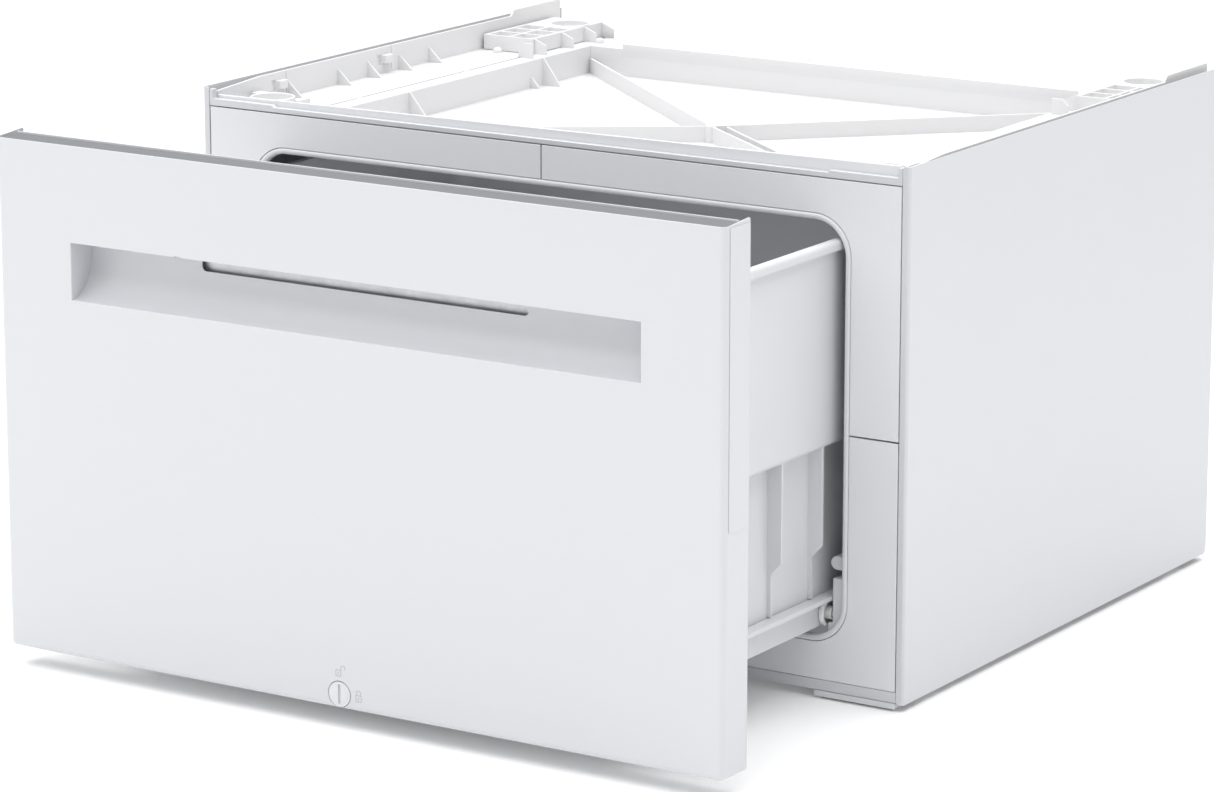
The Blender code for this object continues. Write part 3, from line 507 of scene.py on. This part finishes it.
def lock_parts():
    """The coin-slot knob and the two small padlock signs that show which way it turns."""
    low, high = KNOB
    radius = high.x - LOCK_X
    front = low.y
    rim = 0.0006
    depth = 0.0022
    profile = [(0, front), (radius - 0.0022, front), (radius - 0.0019, front + 0.00025),
               (radius - 0.0015, front), (radius - rim, front)]
    profile += [(radius - rim + rim * math.sin(a), front + rim - rim * math.cos(a))
                for a in (0.5, 1.0, math.pi / 2)]
    profile += [(radius, front + depth), (0.0035, front + depth), (0.0035, high.y), (0, high.y)]
    knob = lathe(profile, "Y", (LOCK_X, 0, LOCK_Z), 48)
    half, wide, coin_depth = 0.0068, 0.0011, 0.0014
    slot = rounded(LOCK_X - wide, LOCK_X + wide, LOCK_Z - half, LOCK_Z + half, 0.0008, 4)
    cut(knob, prism(slot, front - 0.001, front + coin_depth, "Y"))
    dress(knob, "knob", "lock", "moulded_plastic", ("lock_knob",), edge=0.00012, sharp=50)

    def sign(name, x, z, wide, high, shackle, opened):
        """An outlined padlock, drawn in thin flat lines. Open, its bow stands to the right."""
        line = 0.00038
        y0, y1 = FACE + 0.00004, FACE + 0.00030
        low = z - high / 2
        body_high = high * 0.56
        outer = rounded(x - wide / 2, x + wide / 2, low, low + body_high, 0.0006, 3)
        inner = rounded(x - wide / 2 + line, x + wide / 2 - line, low + line,
                        low + body_high - line, 0.0003, 3)
        piece = prism(outer, y0, y1, "Y")
        cut(piece, prism(inner, y0 - 0.001, y1 + 0.001, "Y"))
        base = low + body_high - line / 2
        middle = x + (wide / 2 + shackle - line if opened else 0)
        rise = high - body_high - shackle
        short = base + (rise * 0.35 if opened else 0)
        outer = [(middle + shackle, base)] + arc((middle, base + rise), shackle, 0, 180, 8)
        outer += [(middle - shackle, short)]
        inner = [(middle - shackle + line, short)]
        inner += arc((middle, base + rise), shackle - line, 180, 0, 8)
        inner += [(middle + shackle - line, base)]
        if opened:
            outer = [(2 * middle - u, v) for u, v in outer]
            inner = [(2 * middle - u, v) for u, v in inner]
        bow = prism(outer + inner, y0, y1, "Y")
        keyhole = prism(rounded(x - line * 0.6, x + line * 0.6, low + body_high * 0.3,
                                low + body_high * 0.7, line * 0.5, 2), y0, y1, "Y")
        fuse(piece, bow)
        fuse(piece, keyhole)
        dress(piece, name, "drawer", "grey_strip", sharp=30, paint="sign_grey")

    sign("sign_open", LOCK_X - 0.0005, LOCK_Z + 0.0170, 0.0046, 0.0082, 0.0019, True)
    sign("sign_closed", LOCK_X + 0.0162, LOCK_Z + 0.0012, 0.0048, 0.0084, 0.0019, False)


# ------------------------------------------------------------------ cabinet skin


def side_panel(side, s):
    """The pressed side skin: a domed front return, a rounded front corner, soft rear corners."""
    roll = 0.0025
    inner = OUTER - 0.0060
    corner = arc((OUTER - roll, FRONT + roll), roll, -90, 0, 8)
    path = [(inner, FRONT), (inner + 0.0008, FRONT), (inner + 0.0018, FRONT)] + corner
    for behind in (0.010, 0.060, 0.15, 0.25, 0.35):
        path.append((OUTER, FRONT + behind))
    round_off = 0.0045
    rear = [(OUTER, BACK - round_off * share) for share in (1.0, 0.75, 0.5, 0.27, 0.1, 0.0)]
    path += rear + [(OUTER - 0.006, BACK), (OUTER - 0.018, BACK)]

    def trim(x, y):
        """How far the sheet's edge pulls in at this point of the path."""
        near_back = BACK - y
        if x < OUTER - 0.001 and y > BACK - 1e-6:
            return round_off
        if near_back < round_off:
            return round_off - math.sqrt(max(0, round_off ** 2 - (round_off - near_back) ** 2))
        from_edge = x - inner
        if y < FRONT + 1e-6 and from_edge < 0.0019:
            return 0.0016 * (1 - from_edge / 0.0019) ** 2
        return 0.0

    bm = bmesh.new()
    rows = []
    for base, way in ((PANEL_LOW, 1), (PANEL_LOW + 0.02, 0), (0.195, 0), (PANEL_HIGH - 0.02, 0),
                      (PANEL_HIGH, -1)):
        rows.append([bm.verts.new((s * x, y, base + way * trim(x, y))) for x, y in path])
    for low, high in zip(rows, rows[1:]):
        for i in range(len(path) - 1):
            bm.faces.new((low[i], low[i + 1], high[i + 1], high[i])[::s])
    mesh = bpy.data.meshes.new("panel")
    bm.to_mesh(mesh)
    bm.free()
    panel = link(bpy.data.objects.new("panel", mesh))
    skin = panel.modifiers.new("skin", "SOLIDIFY")
    skin.thickness = 0.0010
    skin.offset = -1
    skin.use_even_offset = True
    settle(panel)
    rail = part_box("rear_top_rail")[0].z
    cut(panel, box(s * (OUTER - 0.030), s * (OUTER - 0.0047), BACK - 0.003, BACK + 0.003,
                   rail, ABOVE))
    dress(panel, f"skin_{side}", "cabinet", "painted_steel", (f"side_panel_{side}",),
          edge=0.00028, sharp=50)


TRIM_CORNER = 0.029  # radius of the opening's corners


def bezel_quarter(level, side, s):
    """One quarter of the face round the opening, with rounded edges."""
    up = level == "upper"
    way = 1 if up else -1
    trim_low, trim_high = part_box("opening_trim")
    gap, half_seam = 0.0003, 0.0006
    outer, inner = 0.2922, trim_high.x + gap
    edge = 0.3707 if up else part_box(f"bezel_lower_{side}")[0].z
    lip = trim_high.z + gap if up else trim_low.z - gap
    seam = 0.192 + way * half_seam
    bend = arc((inner - TRIM_CORNER, lip - way * TRIM_CORNER), TRIM_CORNER, 0, way * 90, 14)
    outline = [(outer, seam), (outer, edge), (half_seam, edge), (half_seam, lip)] + bend[::-1]
    outline += [(inner, seam)]
    name = f"bezel_{level}_{side}"
    piece = prism([(s * x, z) for x, z in outline], FRONT, FRONT + 0.003, "Y")
    if name == "bezel_lower_left":
        head_low, head_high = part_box("lock_head")
        room = 0.001
        cut(
            piece,
            prism(rounded(head_low.x - room, head_high.x + room, head_low.z - room,
                          head_high.z + room, 0.0008, 4), FRONT - 0.01, FRONT + 0.01, "Y"),
            lathe([(0, -0.01), (0.0043, -0.01), (0.0043, 0.01), (0, 0.01)], "Y",
                  (LOCK_X, FRONT, LOCK_Z), 36),
        )
    dress(piece, "plate_" + name, "cabinet", "bezel_plastic", (name,), edge=0.00045, segments=3)


def opening_frame():
    """The rounded frame round the drawer's opening."""
    low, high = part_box("opening_trim")
    lip = 0.0043
    bull = [(0.0, FRONT + 0.0008), (0.0002, FRONT + 0.0001), (0.0006, FRONT - 0.0004),
            (0.0012, FRONT - 0.0007), (0.0020, FRONT - 0.0008), (0.0029, FRONT - 0.0007),
            (0.0036, FRONT - 0.0003), (0.0041, FRONT + 0.0003), (lip, FRONT + 0.0010)]
    bull = [(0.0, high.y)] + bull + [(lip, high.y)]
    rings = []
    for inset, y in bull:
        ring = rounded(low.x + inset, high.x - inset, low.z + inset, high.z - inset,
                       TRIM_CORNER - inset, 14)
        rings.append([(x, y, z) for x, z in ring])
    dress(loft(rings, closed=True), "opening_frame", "cabinet", "moulded_plastic",
          ("opening_trim",), sharp=60)


# ------------------------------------------------------------------ tray and seats


TRAY_FLOOR, RIB_TOP, TRAY_HALF = 0.342, 0.354, 0.228
TRAY_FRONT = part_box("top_tray")[0].y
TRAY_BACK = FRONT + 0.419
SILL = 0.0022


def rib(start, end, low, high, thick=0.0020):
    """A straight upright wall between two points in plan."""
    start, end = Vector(start), Vector(end)
    along = (end - start).normalized()
    side = Vector((-along.y, along.x)) * thick / 2
    outline = [start - side, end - side, end + side, start + side]
    return prism([tuple(point) for point in outline], low, high, "Z")


def front_sill():
    """The tray's front wall, whose top edge falls a little from right to left."""
    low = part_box("opening_trim")[1].z + 0.0007
    outline = [(-0.2890, 0.3792), (-0.2890, low), (0.2890, low), (0.2890, 0.3842)]
    dress(prism(outline, TRAY_FRONT, TRAY_FRONT + SILL, "Y"), "front_sill", "cabinet",
          "deck_plastic", edge=0.0006, segments=3, paint="bezel_plastic")


def deck():
    """The sunk deck: its walls and ledges, a cross of ribs with a post, and corner gussets."""
    bottom = TRAY_FLOOR - 0.0024
    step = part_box("opening_trim")[1].z + 0.0007
    front, back = TRAY_FRONT + SILL, TRAY_BACK
    turn = TRAY_FRONT + 0.0180  # the deck is stepped up in front of this line
    half, edge = TRAY_HALF, TRAY_EDGE
    hair = 0.0001  # keeps overlapping faces out of one plane
    adds = [
        box(-half + hair, half - hair, turn + hair, back - hair, bottom, TRAY_FLOOR),
        box(-half + hair, half - hair, turn, turn + SILL, bottom + hair, step + SILL - hair),
        box(-half + 2 * hair, half - 2 * hair, front, turn + SILL / 2, step + hair, step + SILL),
        box(-half, half, back - SILL, back - 2 * hair, bottom + hair, edge - hair),
        box(-0.195, 0.2115, back - SILL - hair, back - 3 * hair, edge - 0.006, edge + 0.004),
        box(-0.235, 0.235, back - SILL / 2, back + 0.033, edge - 0.0018, edge + hair),
    ]
    for s in (-1, 1):
        adds += [
            box(s * half, s * (half - 0.002), turn + 2 * hair, back - SILL / 2, bottom + 2 * hair,
                edge - 2 * hair),
            box(s * (half - hair), s * (half - 0.002 - hair), front + hair, turn + 0.002,
                step + 2 * hair, edge - 3 * hair),
            box(s * (half - 0.001), s * 0.2415, front + 2 * hair, back + 0.033 + hair,
                edge - 0.0018 - hair, edge),
            box(s * 0.2403, s * 0.2414, front + 0.002, back - 0.070, edge - 0.0110, edge - 0.0008),
        ]
        wall = half - 0.0015
        for behind, foot, short in ((0.162, 0.0195, 0), (0.3475, 0.0175, 0),
                                    (0.3300, 0.0085, 0.0130)):
            y = FRONT + behind
            top = edge - 0.0004 - short
            shape = [(s * wall, TRAY_FLOOR - 0.001), (s * (wall - foot), TRAY_FLOOR - 0.001),
                     (s * (wall - foot * 0.92), TRAY_FLOOR + 0.0014), (s * (wall - 0.0012), top),
                     (s * wall, top)]
            adds.append(prism(shape, y, y + 0.0018, "Y"))
        for behind in (0.118, 0.262):
            y = FRONT + behind
            adds.append(box(s * 0.2405, s * 0.2434, y, y + 0.0055, edge - 0.0016, edge - 0.0003))
        peg = [(0, edge - 0.001), (0.0034, edge - 0.001), (0.0034, edge + 0.0022),
               (0.0028, edge + 0.0034), (0.0016, edge + 0.0042), (0, edge + 0.0044)]
        adds.append(lathe(peg, "Z", (s * 0.2260, FRONT + 0.431, 0), 20))
    cx, cy = 0.015, FRONT + 0.208  # where the cross of ribs meets
    low, reach, near = TRAY_FLOOR - 0.0013, half - 0.001, FRONT + 0.045
    crown = RIB_TOP + 0.0009
    for end in ((-reach, back - 0.001), (reach, back - 0.001), (-reach, near), (reach, near)):
        adds.append(rib((cx, cy), end, low, RIB_TOP))
    adds.append(rib((cx + 0.009, cy + 0.008), (reach, near + 0.009), low, RIB_TOP - 0.001))
    post = [(0, low), (0.0048, low), (0.0048, RIB_TOP + 0.0002), (0.0040, crown), (0, crown)]
    adds.append(lathe(post, "Z", (cx, cy, 0), 28))
    dress(gather(adds), "deck", "cabinet", "deck_plastic", ("top_tray",), edge=0.0003, sharp=35,
          flat=None)


def side_member(side, s):
    """The strip and outer wall beside the deck, with gussets, two snap tongues and a rear tab."""
    name = f"tray_side_{side}"
    low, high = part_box(name)
    front, back = low.y, high.y
    level = TRAY_EDGE - 0.001
    strip = box(s * 0.2435, s * 0.2965, front, back, TRAY_EDGE - 0.0022, TRAY_EDGE)
    rear, tab = BACK - 0.0080, FRONT + 0.400
    soft = 0.0022
    outline = [(front, level), (rear, level)]
    outline += arc((rear - soft, high.z - soft), soft, 0, 90, 4)
    outline += [(tab + 0.004, high.z), (tab, 0.3846), (FRONT + 0.060, 0.3846), (front, 0.3815)]
    inside, outside = 0.2905, 0.2925
    wall = prism(outline, min(s * inside, s * outside), max(s * inside, s * outside), "X")
    adds = [strip]
    for behind in (0.095, 0.1595, 0.1990, 0.2410, 0.2820):
        y = FRONT + behind
        corner = [(inside + 0.0005, level), (0.2780, level), (0.2785, TRAY_EDGE + 0.0012),
                  (inside + 0.0005, TRAY_EDGE + 0.0125)]
        adds.append(prism([(s * x, z) for x, z in corner], y, y + 0.0016, "Y"))
    cuts = []
    for behind in (0.074, 0.2120):
        y = FRONT + behind
        nose = [(y + 0.0050, inside + 0.001), (y + 0.0062, 0.2868), (y + 0.0080, 0.2858),
                (y + 0.0150, 0.2858), (y + 0.0175, inside + 0.001)]
        adds.append(prism([(s * x, v) for v, x in nose], 0.3722, 0.3785, "Z"))
        slit = y + 0.0185
        cuts += [
            box(s * (inside - 0.001), s * (outside - 0.0006), y, y + 0.0050, 0.3705, 0.3790),
            box(s * (inside - 0.001), s * (outside + 0.001), slit, slit + 0.0007, 0.3660, ABOVE),
        ]
    peg = [(0, level), (0.0036, level), (0.0036, TRAY_EDGE + 0.0020), (0.0030, TRAY_EDGE + 0.0032),
           (0.0016, TRAY_EDGE + 0.0041), (0, TRAY_EDGE + 0.0043)]
    adds.append(lathe(peg, "Z", (s * 0.2700, FRONT + 0.349, 0), 20))
    cut(wall, *cuts)
    dress(gather([wall] + adds), f"member_{side}", "cabinet", "deck_plastic", (name,), edge=0.0003,
          sharp=35, flat=None)


def ring_wall(x, y, inner, outer, low, high):
    """A short round wall with a rounded top."""
    top = 0.0005
    return lathe([(inner, low), (outer, low), (outer, high - top), (outer - top, high),
                  (inner + top, high), (inner, high - top)], "Z", (x, y, 0), 48)


def rear_block(side, s):
    """The block that carries a rear foot: thin-walled pockets, a proud ring, and fins inside."""
    name = f"rear_seat_{side}"
    low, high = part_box(name)
    top, base = high.z, TRAY_EDGE - 0.0002
    seat = box(s * 0.2410, s * 0.2880, low.y, high.y, low.z, top)
    cup_x, cup_y = s * 0.2575, FRONT + 0.435
    cuts = [lathe([(0, low.z + 0.0030), (0.0155, low.z + 0.0030), (0.0155, ABOVE), (0, ABOVE)], "Z",
                  (cup_x, cup_y, 0), 48)]
    for column in (0.2440, 0.2655):
        for row in range(3):
            y = low.y + 0.0022 + 0.0194 * row
            cuts.append(box(s * column, s * (column + 0.0192), y, y + 0.0170,
                            low.z + 0.0040, ABOVE))
    cut(seat, *cuts)
    inside, wall, crown = 0.2298, 0.2418, top - 0.0004
    sloped = [(inside, base), (wall, base), (wall, crown), (0.2400, crown), (inside, base + 0.0078)]
    adds = [ring_wall(cup_x, cup_y, 0.0146, 0.0164, low.z + 0.002, top + 0.0010)]
    for behind in (0.3580, 0.3973, 0.4310, 0.4572):
        y = FRONT + behind
        adds.append(prism([(s * x, z) for x, z in sloped], y, y + 0.0016, "Y"))
    lone = [(inside, base), (0.2437, base), (0.2437, base + 0.0075), (0.2385, crown),
            (inside, crown)]
    y = FRONT + 0.3387
    adds.append(prism([(s * x, z) for x, z in lone], y, y + 0.0016, "Y"))
    dress(gather([seat] + adds), f"block_rear_{side}", "cabinet", "deck_plastic", (name,),
          edge=0.0003, sharp=35, flat=None)


def front_block(side, s):
    """The smaller block that carries a front foot: a raised ring between two short walls."""
    name = f"front_seat_{side}"
    low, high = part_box(name)
    x, y = s * 0.2600, FRONT + 0.034
    base = low.z
    plate = box(s * 0.2420, s * 0.2870, FRONT + 0.0140, FRONT + 0.0560, base, base + 0.0034)
    adds = [ring_wall(x, y, 0.0150, 0.0170, base + 0.001, high.z)]
    for x0, x1, y0, y1, rise in (
        (0.2415, 0.2450, 0.0120, 0.0300, 0.0), (0.2415, 0.2450, 0.0400, 0.0560, 0.0030),
        (0.2775, 0.2872, 0.0138, 0.0220, 0.0015), (0.2780, 0.2872, 0.0450, 0.0540, 0.0015),
    ):
        adds.append(box(s * x0, s * x1, FRONT + y0, FRONT + y1, base + 0.001, high.z - rise))
    dress(gather([plate] + adds), f"block_front_{side}", "cabinet", "deck_plastic", (name,),
          edge=0.0003, sharp=35, flat=None)


# ------------------------------------------------------------------ running gear


def roller(node, pin, body, pin_body, s, hub):
    """A turned wheel with its pin. With a hub it is dished outside, round a boss."""
    low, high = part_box(node)
    middle = (low + high) / 2
    radius = (high.z - low.z) / 2
    half = (high.x - low.x) / 2
    bore, boss, dish = 0.0033, 0.0048, 0.0080
    edge = 0.0011
    side = half - 0.0031 if hub else half
    bend = [(edge * math.sin(a), edge * math.cos(a)) for a in (0, 0.4, 0.8, 1.2, math.pi / 2)]
    web = -half + 0.0009 if hub else half - 0.0007
    profile = [(bore, half), (boss - 0.0005, half), (boss, half - 0.0005), (boss, web),
               (dish, web), (dish + 0.0002, side)]
    profile += [(radius - edge + u, side - edge + v) for u, v in bend]
    profile += [(radius - edge + u, edge - half - v) for u, v in reversed(bend)]
    profile += [(bore, -half)]
    wheel = lathe([(r, s * h) for r, h in profile], "X", middle, 44)
    dress(wheel, "wheel_" + node, body, "roller_plastic", (node,), sharp=45)
    low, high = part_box(pin)
    r = (high.z - low.z) / 2
    y, z = (low.y + high.y) / 2, (low.z + high.z) / 2
    nose = 0.0006
    shape = [(0, low.x), (r - nose, low.x), (r, low.x + nose), (r, high.x - nose),
             (r - nose, high.x), (0, high.x)]
    dress(lathe(shape, "X", (0, y, z), 28), "pin_" + pin, pin_body, "bright_steel", (pin,),
          sharp=50)


# ------------------------------------------------------------------ drawer tub


def tub():
    """The plastic box: rounded rim bead, stepped walls, tapered ribs outside."""
    low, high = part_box("drawer_tub")
    front, back = low.y, high.y
    rim, step_z = 0.3215, 0.1837
    wall = 0.0025
    rib_pitch = 0.055
    lean = 0.12  # how far the front wall slopes for each unit that the sides step in
    full = high.x

    def ring(half, z, inset=0.0):
        step = full - half
        corner = max(0.004, 0.0175 - inset - step * 0.25)
        points = rounded(-half + inset, half - inset, front + step * lean + inset,
                         back - step - inset, corner, 8)
        return [(x, y, z) for x, y in points]

    body, lower, soft = 0.240, 0.228, 0.0035
    rings = [ring(lower - 0.0030, low.z), ring(lower - 0.0009, low.z + 0.0009),
             ring(lower, low.z + 0.0030), ring(lower, step_z - 0.0010),
             ring(lower + 0.0010, step_z)]
    for i in range(5):
        a = math.pi / 2 * i / 4
        rings.append(ring(body - soft + soft * math.sin(a), step_z + soft - soft * math.cos(a)))
    rings += [ring(body, rim - 0.0008), ring(body + 0.0008, rim), ring(full - 0.0014, rim),
              ring(full - 0.0005, rim + 0.0004), ring(full, rim + 0.0013)]
    bead = 0.0030
    for i in range(5):
        a = math.pi / 2 * i / 4
        rings.append(ring(full - bead + bead * math.cos(a), high.z - bead + bead * math.sin(a)))
    rings += [ring(body, high.z, wall - 0.0012), ring(body, high.z - 0.0004, wall - 0.0003),
              ring(body, high.z - 0.0014, wall), ring(body, step_z + 0.0030 + wall, wall),
              ring(body - 0.0010, step_z + 0.0016 + wall, wall),
              ring(lower + 0.0010, step_z + 0.0010 + wall, wall), ring(lower, step_z + wall, wall),
              ring(lower, low.z + 0.0070 + wall, wall),
              ring(lower - 0.0020, low.z + 0.0022 + wall, wall),
              ring(lower - 0.0070, low.z + wall, wall)]
    shell = loft(rings)
    tools = []
    for s in (-1, 1):
        y = FRONT - 0.1764  # the foremost rib
        while y < back - 0.05:
            inner, outer = lower - 0.001, 0.2390
            outline = [(inner, 0.0748), (0.2310, 0.0748), (0.2310, 0.1048),
                       (0.2314, 0.1056), (0.2386, 0.1132), (outer, 0.1140),
                       (outer, step_z + 0.0010), (inner, step_z + 0.0010)]
            tools.append(prism([(s * x, z) for x, z in outline], y, y + 0.0024, "Y"))
            y += rib_pitch
    fuse(shell, *tools)
    dress(shell, "tub", "drawer", "tub_plastic", ("drawer_tub",), sharp=32)


# ------------------------------------------------------------------ scene


def build():
    face_shape()
    top_cap()
    lock_parts()
    opening_frame()
    front_sill()
    deck()
    tub()
    for side, s in SIDES:
        side_panel(side, s)
        side_member(side, s)
        rear_block(side, s)
        front_block(side, s)
        for level in ("upper", "lower"):
            bezel_quarter(level, side, s)
            refine(f"tub_screw_{level}_{side}", "drawer", "bright_steel", 0.0005, 3)
        for end, pin_body, hub in (("front", "cabinet", True), ("rear", "drawer", False)):
            wheel = f"{end}_roller_{side}"
            roller(wheel, f"{end}_axle_{side}", wheel, pin_body, s, hub)
        refine(f"roller_bracket_{side}", "cabinet", "moulded_plastic", 0.0008, 3)
        refine(f"guide_peg_{side}", "cabinet", "moulded_plastic", 0.0008, 3)
        refine(f"slide_rail_{side}", "drawer", "moulded_plastic", 0.0004)
        refine(f"flange_pad_{side}", "drawer", "painted_steel", 0.00018)
        refine(f"side_sill_{side}", "cabinet", "zinc_steel", 0.0003)
        refine(f"runner_{side}", "cabinet", "zinc_steel", 0.0003)
        for end in ("front", "rear"):
            refine(f"foot_{end}_{side}", "cabinet", "moulded_plastic", 0.0008, 3)
            refine(f"foot_pad_{end}_{side}", "cabinet", "pad_rubber", 0.0003)
    refine("top_front_rail", "cabinet", "painted_steel", 0.0005, 3)
    refine("bottom_front_rail", "cabinet", "painted_steel", 0.0004, 3)
    for node in ("rear_top_rail", "rear_sill", "back_panel"):
        refine(node, "cabinet", "zinc_steel", 0.0003)
    refine("backing_panel", "drawer", "zinc_steel", 0.0002)
    refine("lock_housing", "drawer", "moulded_plastic", 0.0003)
    refine("lock_head", "lock", "bright_steel", 0.0004, 3)


def floor():
    """A plain pale floor, with a faint unevenness."""
    reach = 60.0
    bm = bmesh.new()
    bmesh.ops.create_grid(bm, x_segments=24, y_segments=24, size=reach)
    ground = solid(bm, "floor")
    paint = bpy.data.materials.new("floor_paint")
    paint.use_nodes = True
    tree = paint.node_tree
    shader = tree.nodes["Principled BSDF"]
    shader.inputs["Roughness"].default_value = 0.9
    shader.inputs["Specular IOR Level"].default_value = 0.1
    shader.inputs["Emission Color"].default_value = (1, 1, 1, 1)
    shader.inputs["Emission Strength"].default_value = 0.10
    noise = tree.nodes.new("ShaderNodeTexNoise")
    noise.inputs["Scale"].default_value = 3.0
    blend = tree.nodes.new("ShaderNodeMix")
    blend.data_type = "RGBA"
    blend.inputs["A"].default_value = (0.92, 0.92, 0.92, 1)
    blend.inputs["B"].default_value = (0.94, 0.94, 0.94, 1)
    tree.links.new(noise.outputs["Fac"], blend.inputs["Factor"])
    tree.links.new(blend.outputs["Result"], shader.inputs["Base Color"])
    ground.data.materials.append(paint)


def area_light(name, place, aim, size, power):
    """A rectangular lamp that looks at a point."""
    data = bpy.data.lights.new(name, "AREA")
    data.shape = "RECTANGLE"
    data.size, data.size_y = size
    data.energy = power
    lamp = link(bpy.data.objects.new(name, data))
    lamp.location = place
    lamp.rotation_euler = (Vector(aim) - Vector(place)).to_track_quat("-Z", "Y").to_euler()
    return lamp


def studio():
    """Soft white light all round, a large lamp above and a weak one from the front left."""
    scene = bpy.context.scene
    scene.view_settings.view_transform = "Standard"
    world = bpy.data.worlds.new("studio")
    world.use_nodes = True
    sky = world.node_tree.nodes["Background"]
    sky.inputs["Color"].default_value = (1, 1, 1, 1)
    sky.inputs["Strength"].default_value = 0.54
    scene.world = world
    area_light("top", (0.1, -0.2, 3.3), (0.1, -0.2, 0), (5.5, 5.5), 215)
    area_light("front_left", (-2.4, -2.2, 1.5), (0, -0.2, 0.2), (2.5, 2.0), 17)


def camera():
    """The camera at the picture's viewing angle: turned to the left and tilted down."""
    turn, tilt = math.radians(32.5192), math.radians(13.4447)
    data = bpy.data.cameras.new("camera")
    data.lens = 145.17
    data.sensor_width = 36
    data.clip_end = 200
    eye = link(bpy.data.objects.new("camera", data))
    eye.location = (1.8741, -2.9723, 1.0038)
    eye.rotation_euler = (math.radians(90) - tilt, 0, turn)
    bpy.context.scene.camera = eye


build()
floor()
studio()
camera()
